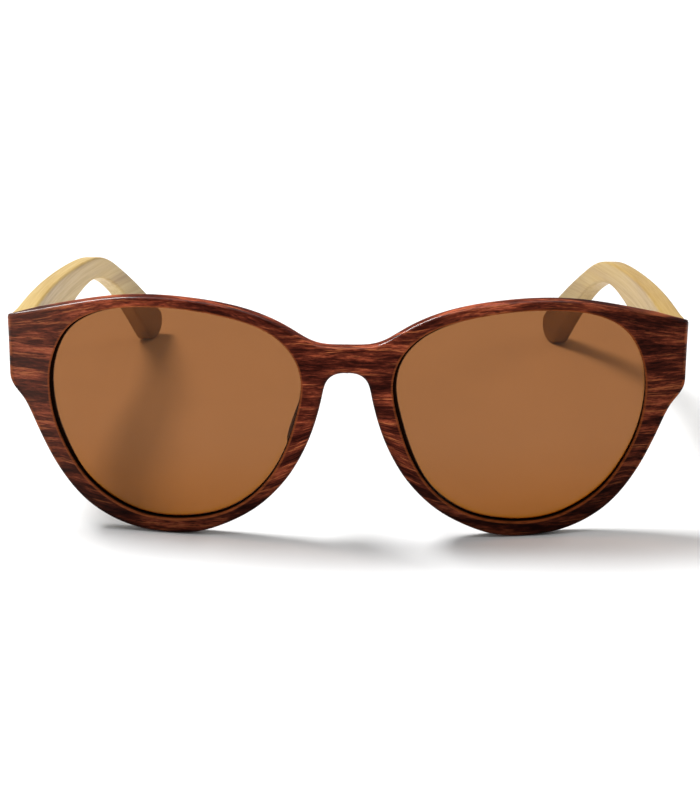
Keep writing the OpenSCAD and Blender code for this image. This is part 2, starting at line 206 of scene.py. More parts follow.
def plate(outer, holes, face0, face1, to_xyz, r0, r1, hole_r=(0.3, 0.3), grid=1.1, steps=6, wall=None):
    """A solid plate between two surfaces, with round edges. outer and holes are loops in the plate's own
    plane; face0 and face1 give the depth of its two faces at points of that plane, with face1 the deeper.
    r0 and r1 give the radius of the outer edge at each point. wall lists (depth below face0, offset) of
    extra lines on the walls of the holes. Returns (points, triangles and quads)."""
    loops = [outer] + list(holes)
    verts, faces = [], []

    def add(P2, depth):
        base = len(verts)
        verts.extend(to_xyz(P2, depth))
        return base

    for side, (face, rr, sign) in enumerate(((face0, r0, 1.0), (face1, r1, -1.0))):
        radius = [rr if j == 0 else (lambda P, h=hole_r[side]: np.full(len(P), h)) for j in range(len(loops))]
        pts, edges = [], []
        for j, L in enumerate(loops):
            n = inward(L) * (1 if j == 0 else -1)
            R = radius[j](L)
            base = sum(len(p) for p in pts)
            pts.append(L)
            edges += [(base + k, base + (k + 1) % len(L)) for k in range(len(L))]
            for a in np.linspace(0, math.pi / 2, steps + 1)[1:]:
                d = R * (1 - math.cos(a))
                Q = L + n * d[:, None]
                far = distance(Q, L)
                pts.append(Q[(far > 0.97 * d) & (far < 1.2 * d + 1e-3)])
        lo, hi = outer.min(0), outer.max(0)
        gx, gy = np.meshgrid(np.arange(lo[0], hi[0], grid), np.arange(lo[1], hi[1], grid * 0.866))
        gx = gx + (np.arange(gx.shape[0]) % 2)[:, None] * grid / 2
        G = np.stack([gx.ravel(), gy.ravel()], 1)
        G = G[within(G, outer)]
        for j, L in enumerate(loops):
            if j:
                G = G[~within(G, L)]
            G = G[distance(G, L) > radius[j](G) + 0.35 * grid]
        pts.append(G)
        P = np.vstack(pts)
        got, _, tris, _, _, _ = delaunay_2d_cdt([Vector(p) for p in P], edges, [], 0, 1e-6)
        Q = np.array([tuple(v) for v in got])
        T = np.array(tris)
        C = Q[T].mean(1)
        keep = within(C, outer)
        for L in loops[1:]:
            keep &= ~within(C, L)
        T = without_slivers(Q, T[keep])
        depth = face(Q)
        for j, L in enumerate(loops):
            d, R = distance(Q, L), radius[j](Q)
            k = np.clip(1 - np.where(d < 2e-3, 0, d) / R, 0, 1)
            depth = depth + sign * R * (1 - np.sqrt(np.maximum(0, 1 - k * k)))
        base = add(Q, depth)
        faces += [tuple(int(i) + base for i in t) for t in T]
    for j, L in enumerate(loops):
        rings = []
        if j == 0:
            rings = [(L, face0(L) + r0(L)), (L, face1(L) - r1(L))]
        else:
            n = inward(L)
            rings.append((L, face0(L) + hole_r[0]))
            for deep, off in (wall or []):
                Q = L - n * off
                rings.append((Q, deep(Q)))
            rings.append((L, face1(L) - hole_r[1]))
        at = [add(Q, d) for Q, d in rings]
        m = len(L)
        for a, b in zip(at[:-1], at[1:]):
            faces += [(a + k, a + (k + 1) % m, b + (k + 1) % m, b + k) for k in range(m)]
    return np.array(verts), faces


def make(name, verts, faces, merge=0.002, smooth_angle=38.0):
    """A mesh object in the row frame, from points in millimetres."""
    V = np.array(verts, float)
    V[:, 1] -= DEPTH_HALF
    me = bpy.data.meshes.new(name)
    me.from_pydata([tuple(v) for v in V * MM], [], [tuple(f) for f in faces])
    ob = bpy.data.objects.new(name, me)
    bpy.context.scene.collection.objects.link(ob)
    tidy(ob, merge, smooth_angle)
    return ob


def tidy(ob, merge=0.002, smooth_angle=38.0):
    bm = bmesh.new()
    bm.from_mesh(ob.data)
    bmesh.ops.remove_doubles(bm, verts=bm.verts, dist=merge * MM)
    bmesh.ops.dissolve_degenerate(bm, edges=bm.edges, dist=merge * MM)
    bmesh.ops.recalc_face_normals(bm, faces=bm.faces)
    limit = math.radians(smooth_angle)
    for f in bm.faces:
        f.smooth = True
    for e in bm.edges:
        e.smooth = not (len(e.link_faces) == 2 and e.calc_face_angle(0.0) > limit)
    bm.to_mesh(ob.data)
    bm.free()
    ob.data.update()


def combine(ob, others, op):
    """Joins or cuts ob with other closed meshes, which are then removed."""
    for o in others:
        m = ob.modifiers.new("b", "BOOLEAN")
        m.operation, m.solver, m.object = op, "EXACT", o
        bpy.context.view_layer.update()
        dg = bpy.context.evaluated_depsgraph_get()
        me = bpy.data.meshes.new_from_object(ob.evaluated_get(dg))
        ob.modifiers.clear()
        old = ob.data
        ob.data = me
        me.name = ob.name
        bpy.data.meshes.remove(old)
    for o in others:
        bpy.data.objects.remove(o)
    tidy(ob)
    return ob


def block_solid(lo, hi):
    """A plain box, only for cutting."""
    x0, y0, z0 = lo
    x1, y1, z1 = hi
    V = [(x, y, z) for x in (x0, x1) for y in (y0, y1) for z in (z0, z1)]
    F = [(0, 1, 3, 2), (4, 6, 7, 5), (0, 4, 5, 1), (2, 3, 7, 6), (0, 2, 6, 4), (1, 5, 7, 3)]
    return make("cutter", V, F)


def above_plane(point, normal, half=30.0, high=20.0):
    """A plain block that stands on a plane, only for cutting."""
    p, w = np.array(point, float), np.array(normal, float)
    w /= np.linalg.norm(w)
    a = np.cross(w, [0, 1, 0])
    a /= np.linalg.norm(a)
    b = np.cross(w, a)
    V = [p + i * half * a + j * half * b + k * high * w for i in (-1, 1) for j in (-1, 1) for k in (0, 1)]
    F = [(0, 1, 3, 2), (4, 6, 7, 5), (0, 4, 5, 1), (2, 3, 7, 6), (0, 2, 6, 4), (1, 5, 7, 3)]
    return make("cutter", V, F)


def rod_solid(p, q, r, n=28):
    """A plain rod, only for cutting."""
    p, q = np.array(p, float), np.array(q, float)
    w = (q - p) / np.linalg.norm(q - p)
    a = np.cross(w, [0.3, 0.5, 0.8])
    a /= np.linalg.norm(a)
    b = np.cross(w, a)
    ring = [a * math.cos(t) + b * math.sin(t) for t in np.arange(n) * 2 * math.pi / n]
    V = [p + r * k for k in ring] + [q + r * k for k in ring]
    F = [tuple(range(n)), tuple(range(2 * n - 1, n - 1, -1))]
    F += [(k, (k + 1) % n, n + (k + 1) % n, n + k) for k in range(n)]
    return make("cutter", V, F)


def wrap(depth):
    """Depth of the wrapped surface that lies depth behind the front face, at points (x, z)."""
    return lambda P: WRAP_R - np.sqrt((WRAP_R - depth) ** 2 - P[:, 0] ** 2)


def ease(a, b, x):
    t = np.clip((x - a) / (b - a), 0, 1)
    return t * t * (3 - 2 * t)


def store(ob, name, values):
    at = ob.data.attributes.get(name) or ob.data.attributes.new(name, "FLOAT", "POINT")
    at.data.foreach_set("value", np.asarray(values, np.float32))


def coords(ob):
    """Vertices in millimetres, Y from the front face."""
    co = np.empty(len(ob.data.vertices) * 3, np.float32)
    ob.data.vertices.foreach_get("co", co)
    co = co.reshape(-1, 3).astype(float) / MM
    co[:, 1] += DEPTH_HALF
    return co


# ---------------------------------------------------------------- the front
top, low = brow_line(10), belly_line(6)
half = np.vstack([top, np.array(SIDE, float), low])
outline = np.vstack([half, half[-2:0:-1] * [-1, 1]])
outline = even(outline, 0.45)
outline[:, 1] = np.minimum(outline[:, 1], 53.299)
eye = even(closed_curve(EYE[::-1], 10), 0.45)
eye_left = eye[::-1] * [-1, 1]

brow_x, brow_z = top.T
order = np.argsort(low[:, 0])
low_x, low_z = low[order].T


def edge_round(big, small):
    """Radius of the front's outer edge: big along the brow and belly, small at the ends."""
    return lambda P: small + (big - small) * (1 - ease(66.5, 70.5, np.abs(P[:, 0])))


V, F = plate(outline, [eye, eye_left], wrap(0), wrap(FRONT_T),
             lambda P, d: np.stack([P[:, 0], d, P[:, 1]], 1),
             edge_round(0.8, 0.45), edge_round(1.15, 0.5), hole_r=(0.32, 0.3),
             wall=[(wrap(LENS_RECESS - LENS_GAP), 0), (wrap(LENS_RECESS - LENS_GAP), LENS_BITE + LENS_GAP),
                   (wrap(LENS_RECESS + LENS_T + LENS_GAP), LENS_BITE + LENS_GAP),
                   (wrap(LENS_RECESS + LENS_T + LENS_GAP), 0)])
front = make("front_moulding", V, F)
adds, cuts = [], []
for s, _ in SIDES:
    shape = even(rounded([(9.6, 32.5), (LAND_Y, 32.5), (LAND_Y, 46.0), (9.6, 46.8)], [0.3, 0.4, 0.4, 0.3]), 0.3)
    Vb, Fb = plate(shape, [], lambda P: np.full(len(P), -BLOCK_X1), lambda P: np.full(len(P), -BLOCK_X0),
                   lambda P, d, s=s: np.stack([-s * d, P[:, 0], P[:, 1]], 1),
                   lambda P: np.full(len(P), 0.35), lambda P: np.full(len(P), 0.3), grid=1.5, steps=4)
    adds.append(make("cutter", Vb, Fb))
    x0, x1 = sorted((s * (BLOCK_X0 - 1), s * (BLOCK_X0 + 6.75)))
    cuts.append(block_solid((x0, LAND_Y - LEAF_T, PIN_Z - 5.05), (x1, 16, PIN_Z + 5.05)))
    cuts.append(above_plane((s * 71.0, 9.1, 47.45), (s * 0.27, 0.357, 1.0)))
    for dz in (-3.2, 3.2):
        cuts.append(rod_solid((s * 69.2, 10.4, PIN_Z + dz), (s * 69.2, 15, PIN_Z + dz), 0.52))
combine(front, adds, "UNION")
combine(front, cuts, "DIFFERENCE")


def front_fields(ob):
    """Across-grain height and distance from the lens openings, for the wood grain."""
    c = coords(ob)
    x, z = np.abs(c[:, 0]), c[:, 2]
    b = np.interp(x, brow_x, brow_z)
    l = np.interp(x, low_x, low_z)
    near_brow = ease(9.0, 0.5, b - z) * ease(9, 24, x)
    near_low = ease(9.0, 0.0, z - l) * ease(64, 56, x) * 0.28
    v = z - near_brow * (b - 49.0) - near_low * (l - 1.0) * ease(30, 12, z)
    store(ob, "across", v * MM)
    P = np.stack([x, z], 1)
    store(ob, "rim", np.minimum(distance(P, eye), 9.0) * MM)
    store(ob, "deep", (c[:, 1] - wrap(0)(c[:, [0, 2]])) * MM)
    both = np.stack([c[:, 0], z], 1)
    store(ob, "edge", np.minimum(distance(both, outline), 4.0) * MM)


front_fields(front)
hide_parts("front_frame")
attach(front, "front")

# ---------------------------------------------------------------- lenses
lenses = []
lens_edge = eye - inward(eye) * LENS_BITE
centre = np.array([36.5, 27.0])
RING_T = [(k / 20) ** 0.9 * 0.93 for k in range(1, 21)] + [0.945, 0.956, 0.965, 0.972, 0.978, 0.984, 0.990]
for s, word in SIDES:
    rings = len(RING_T) + 1
    V, F = [], []
    m = len(lens_edge)
    for depth, chamfer in ((LENS_RECESS, 0.12), (LENS_RECESS + LENS_T, -0.12)):
        base = len(V)
        surf = wrap(depth)
        for t in RING_T + [1 - abs(chamfer) / 27]:
            P = centre + (lens_edge - centre) * t
            d = surf(P)
            V += list(np.stack([s * P[:, 0], d, P[:, 1]], 1))
        V.append(np.array([s * centre[0], surf(centre[None])[0], centre[1]]))
        c0 = len(V) - 1
        P = lens_edge
        V += list(np.stack([s * P[:, 0], surf(P) + chamfer, P[:, 1]], 1))
        rim0 = c0 + 1
        F += [(c0, base + k, base + (k + 1) % m) for k in range(m)]
        for r in range(rings - 1):
            a, b = base + r * m, base + (r + 1) * m
            F += [(a + k, a + (k + 1) % m, b + (k + 1) % m, b + k) for k in range(m)]
        a = base + (rings - 1) * m
        F += [(a + k, a + (k + 1) % m, rim0 + (k + 1) % m, rim0 + k) for k in range(m)]
        if depth == LENS_RECESS:
            first = rim0
    F += [(first + k, first + (k + 1) % m, rim0 + (k + 1) % m, rim0 + k) for k in range(m)]
    ob = make("lens_glass_" + word, V, F, merge=0.001)
    c = coords(ob)
    P = np.stack([c[:, 0] * s, c[:, 2]], 1)
    u = P - centre
    u /= np.maximum(np.hypot(*u.T), 1e-6)[:, None]
    inside = np.where(within(P, eye), distance(P, eye), 0.0)
    # shade of the groove: widest where the wall of the opening faces right, and none at the top
    shade = 0.05 + 0.72 * (np.clip(-u[:, 0] * s, 0, 1) ** 1.1 * np.clip(1.9 - u[:, 1] * 1.2, 0, 1)
                          * (1 - 0.96 * ease(0.2, 0.8, -u[:, 1])))
    store(ob, "inside", inside * MM)
    store(ob, "shade", shade * MM)
    store(ob, "low", np.clip(-u[:, 1] * 1.25 - 0.1, 0, 1))
    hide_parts("lens_" + word)
    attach(ob, "front")
    lenses.append(ob)

# ---------------------------------------------------------------- nose pads
# Each row is one level, from the top down: height, then the corners of its section as (x, depth behind
# the front's rear face): inner front, inner rear, outer rear, outer front.
PAD = [(34.4, (5.9, -0.3), (7.2, 2.2), (8.7, 2.4), (8.4, -0.3)),
       (32.2, (6.0, -0.3), (7.5, 3.4), (9.3, 3.7), (9.0, -0.3)),
       (29.4, (6.6, -0.3), (8.2, 4.1), (10.3, 4.4), (9.5, -0.3)),
       (26.6, (7.4, -0.3), (9.1, 4.4), (11.3, 4.6), (10.3, -0.3)),
       (24.0, (8.3, -0.3), (10.1, 4.1), (12.2, 4.2), (11.2, -0.3)),
       (21.8, (9.4, -0.3), (11.2, 3.3), (12.9, 3.4), (12.0, -0.3)),
       (20.3, (10.2, -0.3), (11.6, 2.0), (12.9, 2.0), (12.4, -0.3))]
pads = []
for s, word in SIDES:
    V, F = [], []
    for row in PAD:
        z, (a, b, c, d) = row[0], row[1:]
        ring = [a, ((a[0] * 0.45 + b[0] * 0.55) - 0.15, (a[1] + b[1]) * 0.5), b,
                ((b[0] + c[0]) / 2, (b[1] + c[1]) / 2 + 0.25), c, ((c[0] + d[0]) / 2 + 0.1, (c[1] + d[1]) / 2), d,
                ((a[0] + d[0]) / 2, -0.3)]
        for x, y in ring:
            back = WRAP_R - math.sqrt((WRAP_R - FRONT_T) ** 2 - x * x)
            V.append((s * x, back + y, z))
    m = 8
    for r in range(len(PAD) - 1):
        F += [(r * m + k, r * m + (k + 1) % m, (r + 1) * m + (k + 1) % m, (r + 1) * m + k) for k in range(m)]
    F += [(0, 1, 2, 3), (0, 3, 4, 7), (4, 5, 6, 7)]
    e = (len(PAD) - 1) * m
    F += [(e + 3, e + 2, e + 1, e), (e + 7, e + 4, e + 3, e), (e + 7, e + 6, e + 5, e + 4)]
    ob = make("nose_pad_soft_" + word, V, F)
    sub = ob.modifiers.new("round", "SUBSURF")
    sub.levels = sub.render_levels = 3
    for e in ob.data.edges:
        e.use_edge_sharp = False
    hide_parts("nose_pad_" + word)
    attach(ob, "front")
    pads.append(ob)

# ---------------------------------------------------------------- temples
t_top, t_low = through(TEMPLE_TOP, 8), through(TEMPLE_LOW, 8)
a = np.radians(np.arange(36, -127, -6))
tip = np.stack([134 - TIP_R + TIP_R * np.cos(a), TIP_R + TIP_R * np.sin(a)], 1)
side_view = np.vstack([t_top, tip, t_low[::-1]])
side_view = even(side_view, 0.5)
# the two corners at the hinge end stay exact
for corner in (TEMPLE_TOP[0], TEMPLE_LOW[0]):
    k = int(np.argmin(np.hypot(*(side_view - np.array(corner)).T)))
    side_view[k] = corner
plan = through(TEMPLE_PLAN, 8)


def outer_x(P):
    return np.interp(P[:, 0], plan[:, 0], plan[:, 1])


def inner_x(P):
    y = P[:, 0]
    return (outer_x(P) - (TEMPLE_T0 - (TEMPLE_T0 - TEMPLE_T1) * (y - 14) / 120)
            - 0.0008 * np.maximum(y - 45, 0) ** 1.5)


def temple_edge(big, small):
    return lambda P: small + (big - small) * ease(14.5, 22, P[:, 0])


temples = []
for s, word in SIDES:
    V, F = plate(side_view, [], lambda P: -outer_x(P), lambda P: -inner_x(P),
                 lambda P, d, s=s: np.stack([-s * d, P[:, 0], P[:, 1]], 1),
                 temple_edge(0.85, 0.3), temple_edge(0.75, 0.3), grid=1.6, steps=6)
    ob = make("temple_bamboo_" + word, V, F)
    x0, x1 = sorted((s * (TEMPLE_IN - 3), s * (TEMPLE_IN + 0.75)))
    cuts = [block_solid((x0, 18.9, PIN_Z - 2.35), (x1, 36.1, PIN_Z + 2.35))]
    x0, x1 = sorted((s * 60.0, s * TEMPLE_IN))
    cuts.append(block_solid((x0, 13.5, 25), (x1, 19, 50)))
    for y in (31.2, 34.3):
        cuts.append(rod_solid((s * (TEMPLE_IN - 1), y, PIN_Z), (s * 70.6, y, PIN_Z), 0.47))
    combine(ob, cuts, "DIFFERENCE")
    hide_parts("temple_" + word)
    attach(ob, word + "_temple")
    c = coords(ob)
    store(ob, "thick", (outer_x(c[:, 1:]) - np.abs(c[:, 0])) * MM)
    temples.append(ob)


# ---------------------------------------------------------------- materials
class Tree:
    """Short names for building a node material."""

    def __init__(self, name):
        self.m = bpy.data.materials.new(name)
        self.m.use_nodes = True
        self.t = self.m.node_tree
        self.t.nodes.clear()
        self.out = self.t.nodes.new("ShaderNodeOutputMaterial")

    def node(self, kind, **sets):
        n = self.t.nodes.new("ShaderNode" + kind)
        for k, v in sets.items():
            setattr(n, k, v)
        return n

    def put(self, socket, value):
        if isinstance(value, bpy.types.NodeSocket):
            self.t.links.new(value, socket)
        else:
            socket.default_value = value

    def math(self, op, a, b=0.0, c=0.0, clamp=False):
        n = self.node("Math", operation=op, use_clamp=clamp)
        for i, v in enumerate((a, b, c)):
            self.put(n.inputs[i], v)
        return n.outputs[0]

    def vec(self, x, y, z):
        n = self.node("CombineXYZ")
        for i, v in enumerate((x, y, z)):
            self.put(n.inputs[i], v)
        return n.outputs[0]

    def xyz(self):
        n = self.node("TexCoord")
        s = self.node("SeparateXYZ")
        self.put(s.inputs[0], n.outputs["Object"])
        return s.outputs[0], s.outputs[1], s.outputs[2]

    def attr(self, name):
        return self.node("Attribute", attribute_name=name).outputs["Fac"]

    def noise(self, vec, scale=1.0, detail=2.0, rough=0.5, distortion=0.0, out="Fac"):
        n = self.node("TexNoise")
        self.put(n.inputs["Vector"], vec)
        self.put(n.inputs["Scale"], scale)
        self.put(n.inputs["Detail"], detail)
        self.put(n.inputs["Roughness"], rough)
        self.put(n.inputs["Distortion"], distortion)
        return n.outputs[out]

    def span(self, v, a, b, c=0.0, d=1.0, smooth=True):
        n = self.node("MapRange", interpolation_type="SMOOTHSTEP" if smooth else "LINEAR")
        for i, x in enumerate((v, a, b, c, d)):
            self.put(n.inputs[i], x)
        return n.outputs[0]

    def ramp(self, fac, stops):
        n = self.node("ValToRGB")
        r = n.color_ramp
        while len(r.elements) < len(stops):
            r.elements.new(0.5)
        for e, (p, c) in zip(r.elements, stops):
            e.position, e.color = p, (*c, 1)
        self.put(n.inputs[0], fac)
        return n.outputs[0]

    def mix(self, fac, a, b, kind="MIX"):
        n = self.node("Mix", data_type="RGBA", blend_type=kind)
        self.put(n.inputs[0], fac)
        for k, v in ((6, a), (7, b)):
            self.put(n.inputs[k], v if isinstance(v, bpy.types.NodeSocket) else (*v, 1))
        return n.outputs[2]

    def bump(self, height, strength, depth_mm):
        n = self.node("Bump")
        self.put(n.inputs["Height"], height)
        self.put(n.inputs["Strength"], strength)
        self.put(n.inputs["Distance"], depth_mm * MM)
        return n.outputs[0]

    def principled(self, **values):
        n = self.node("BsdfPrincipled")
        for k, v in values.items():
            k = k.replace("_", " ")
            if isinstance(v, tuple) and len(v) == 3:
                v = (*v, 1)
            self.put(n.inputs[k], v)
        self.t.links.new(n.outputs[0], self.out.inputs[0])
        return n


def wood_front():
    t = Tree("wood_grain_front")
    x, y, z = t.xyz()
    v = t.attr("across")
    rim = t.attr("rim")
    deep = t.attr("deep")
    edge = t.attr("edge")
    # millimetres, with the grain's slow waves added to the across-grain height
    mx, my, mv = (t.math("MULTIPLY", k, 1000.0) for k in (x, y, v))
    sway = t.noise(t.vec(t.math("MULTIPLY", mx, 0.045), t.math("MULTIPLY", my, 0.05), t.math("MULTIPLY", mv, 0.12)), 1.0, 3, 0.55)
    mv2 = t.math("ADD", mv, t.math("MULTIPLY", t.math("SUBTRACT", sway, 0.5), 1.3))
    # on faces that look up or down the grain's lines are spread over the depth instead
    facing = t.node("SeparateXYZ")
    t.put(facing.inputs[0], t.node("NewGeometry").outputs["Normal"])
    level = t.span(t.math("ABSOLUTE", facing.outputs[2]), 0.55, 0.9)
    mv2 = t.math("ADD", mv2, t.math("MULTIPLY", t.math("MULTIPLY", deep, 950.0), level))

    def field(along, across, detail=3.0, rough=0.55, shift=0.0, dist=0.0):
        return t.noise(t.vec(t.math("MULTIPLY", mx, 1 / along), t.math("MULTIPLY", my, 1 / along),
                             t.math("MULTIPLY_ADD", mv2, 1 / across, shift)), 1.0, detail, rough, dist)

    bands = field(15, 2.3, 3, 0.5, 3.1)
    streaks = field(3.6, 0.42, 4, 0.65, 11.7, 0.2)
    fibres = field(1.5, 0.13, 3, 0.65, 27.3)
    s = t.math("ADD", t.math("MULTIPLY", bands, 0.46), t.math("ADD", t.math("MULTIPLY", streaks, 0.32), t.math("MULTIPLY", fibres, 0.21)))
    s = t.math("ADD", s, 0.016)
    col = t.ramp(s, [(0.40, (0.020, 0.0026, 0.0012)), (0.455, (0.058, 0.0084, 0.0042)), (0.50, (0.112, 0.0195, 0.0096)),
                     (0.545, (0.220, 0.0410, 0.0180)), (0.595, (0.460, 0.0950, 0.0410)), (0.66, (0.700, 0.1850, 0.0880))])
    # thin bright lines along the grain, and short dark pores
    lines = t.math("MULTIPLY", t.span(field(7.0, 0.36, 3, 0.55, 63.0), 0.565, 0.63), t.span(bands, 0.44, 0.56))
    col = t.mix(t.math("MULTIPLY", lines, 0.80), col, (0.640, 0.180, 0.064))
    pores = t.span(field(1.7, 0.12, 2, 0.5, 51.0), 0.55, 0.66)
    col = t.mix(t.math("MULTIPLY", pores, 0.70), col, (0.010, 0.0022, 0.0010))
    # painted light and sheen: the board is paler and greyer at its left end, towards the lamps on the left; it is also
    # darker low down, and along its lower edges, where painted shade lies on the rounding that faces down
    painted_left_sheen = t.span(mx, -42.0, -70.0)
    col = t.mix(t.math("MULTIPLY", painted_left_sheen, 0.30), col, (0.135, 0.083, 0.066))
    # painted light and shade: the board is lighter at its left end, towards the lamps, and darker towards its right end
    tone = t.span(mx, -74.0, 74.0, 1.01, 0.56, smooth=False)
    # the middle of the board is lighter than its ends
    tone = t.math("MULTIPLY", tone, t.span(t.math("ABSOLUTE", mx), 36.0, 60.0, 1.22, 0.83))
    # painted shade: the rounded lower edges, which face down, are darkened; above the brow they are not
    painted_edge_shade = t.math("MAXIMUM", t.span(edge, 0.0, 1.3 * MM, 0.5, 1.0), t.span(z, 36 * MM, 42 * MM))
    sunk = t.span(z, 3 * MM, 28 * MM, 0.30, 1.0)
    brow = t.span(t.math("MULTIPLY", edge, t.span(z, 38 * MM, 44 * MM)), 0.2 * MM, 3.2 * MM, 1.15, 1.05)
    brow = t.math("MAXIMUM", brow, t.span(z, 44 * MM, 38 * MM))
    tone = t.math("MULTIPLY", t.math("MULTIPLY", tone, brow), t.math("MULTIPLY", painted_edge_shade, sunk))
    col = t.mix(1.0, col, t.vec(tone, tone, tone), "MULTIPLY")
    # near the ends the rounded edges of the face are a lighter orange in places, following the grain's bands
    end_edge_orange = t.math("MULTIPLY", t.span(edge, 0.95 * MM, 0.35 * MM), t.span(bands, 0.44, 0.58))
    end_edge_orange = t.math("MULTIPLY", end_edge_orange, t.span(t.math("ABSOLUTE", mx), 58.0, 66.0))
    col = t.mix(t.math("MULTIPLY", end_edge_orange, 0.55), col, (0.400, 0.105, 0.034))
    # walls of the openings are near-black: the dark core of the moulding, together with painted shade of the recess
    wallmask = t.math("MULTIPLY", t.span(deep, 0.42 * MM, 0.70 * MM), t.span(rim, 0.10 * MM, 0.02 * MM))
    col = t.mix(wallmask, col, (0.004, 0.002, 0.0015))
    # behind the lens the lower wall is lit from above, and is a golden line when it is seen through the lens
    gold = t.math("MULTIPLY", t.span(deep, 2.2 * MM, 2.4 * MM), t.span(rim, 0.34 * MM, 0.22 * MM))
    gold = t.math("MULTIPLY", gold, t.span(z, 28 * MM, 16 * MM))
    gold = t.math("MULTIPLY", gold, t.node("LightPath").outputs["Is Transmission Ray"])
    col = t.mix(gold, col, (0.640, 0.440, 0.025))
    # a painted highlight: an orange line along the rounded front edge of each opening, where it catches the light
    line = t.math("MULTIPLY", t.span(rim, 0.52 * MM, 0.22 * MM), t.span(deep, 0.7 * MM, 0.3 * MM))
    line = t.math("MULTIPLY", line, t.span(streaks, 0.38, 0.56, 0.45, 0.85))
    col = t.mix(line, col, t.mix(t.span(mx, -40.0, 60.0), (0.300, 0.078, 0.024), (0.245, 0.058, 0.014)))
    rough = t.span(streaks, 0.35, 0.65, 0.42, 0.32)
    normal = t.bump(t.math("ADD", t.math("MULTIPLY", fibres, 0.6), t.math("MULTIPLY", streaks, 0.4)), 0.25, 0.04)
    # the polish lies on the rounded upper edge of the face
    coat = t.math("MULTIPLY", t.span(edge, 0.60 * MM, 0.25 * MM, 0.0, 0.60), t.span(z, 34 * MM, 41 * MM, 0.12, 1.0))
    coat = t.math("MULTIPLY", coat, t.span(deep, 0.95 * MM, 0.65 * MM, 0.15, 1.0))
    t.principled(Base_Color=col, Roughness=rough, Normal=normal, Coat_Weight=coat, Coat_Roughness=0.16, IOR=1.5,
                 Specular_IOR_Level=0.025)
    return t.m


def bamboo():
    t = Tree("bamboo")
    x, y, z = t.xyz()
    mx, my, mz = (t.math("MULTIPLY", k, 1000.0) for k in (x, y, z))
    # the blank's grain is straight and follows the long straight part of the temple
    tilt = math.radians(7.0)
    u = t.math("SUBTRACT", t.math("MULTIPLY", my, math.cos(tilt)), t.math("MULTIPLY", mz, math.sin(tilt)))
    w = t.math("ADD", t.math("MULTIPLY", my, math.sin(tilt)), t.math("MULTIPLY", mz, math.cos(tilt)))

    thick = t.math("ADD", t.math("MULTIPLY", t.attr("thick"), 1000.0), t.span(mx, -10.0, 10.0, 0.0, 23.0))

    def field(along, across, detail=2.0, rough=0.5, shift=0.0, dist=0.0):
        return t.noise(t.vec(t.math("MULTIPLY", u, 1 / along), t.math("MULTIPLY_ADD", thick, 1 / across, shift),
                             t.math("MULTIPLY", w, 1 / across)), 1.0, detail, rough, dist)

    tone = field(60, 3.4, 2, 0.5, 4.0)
    lines = field(26, 0.55, 3, 0.6, 9.0)
    fine = field(9, 0.17, 2, 0.6, 17.0)
    s = t.math("ADD", t.math("MULTIPLY", tone, 0.46), t.math("ADD", t.math("MULTIPLY", lines, 0.38), t.math("MULTIPLY", fine, 0.16)))
    col = t.ramp(s, [(0.34, (0.390, 0.234, 0.070)), (0.46, (0.510, 0.333, 0.112)), (0.54, (0.570, 0.387, 0.142)), (0.68, (0.640, 0.462, 0.200))])
    dashes = t.span(field(4.5, 0.13, 1, 0.5, 33.0), 0.61, 0.72)
    col = t.mix(t.math("MULTIPLY", dashes, 0.22), col, (0.330, 0.195, 0.080))
    # painted light and shade: the right temple is darker and a deeper yellow than the left, standing in for the lamps
    # on the left. The inner faces are darker and more yellow than the outer ones
    inner = t.span(t.attr("thick"), 3.6 * MM, 4.0 * MM)
    side = t.span(mx, -10.0, 10.0)
    outer = t.mix(side, (1.11, 1.14, 1.12), (0.88, 0.84, 0.72))
    col = t.mix(1.0, col, t.mix(inner, outer, t.mix(side, (0.94, 0.900, 0.68), (0.78, 0.725, 0.47))), "MULTIPLY")
    # painted shade: the ends behind the ears are darker
    ends = t.span(my, 30.0, 60.0, 1.0, 0.62)
    col = t.mix(1.0, col, t.vec(ends, ends, ends), "MULTIPLY")
    rough = t.span(lines, 0.3, 0.7, 0.50, 0.40)
    normal = t.bump(t.math("ADD", t.math("MULTIPLY", fine, 0.5), t.math("MULTIPLY", lines, 0.5)), 0.16, 0.05)
    t.principled(Base_Color=col, Roughness=rough, Normal=normal, IOR=1.48, Coat_Weight=0.10, Coat_Roughness=0.3)
    return t.m


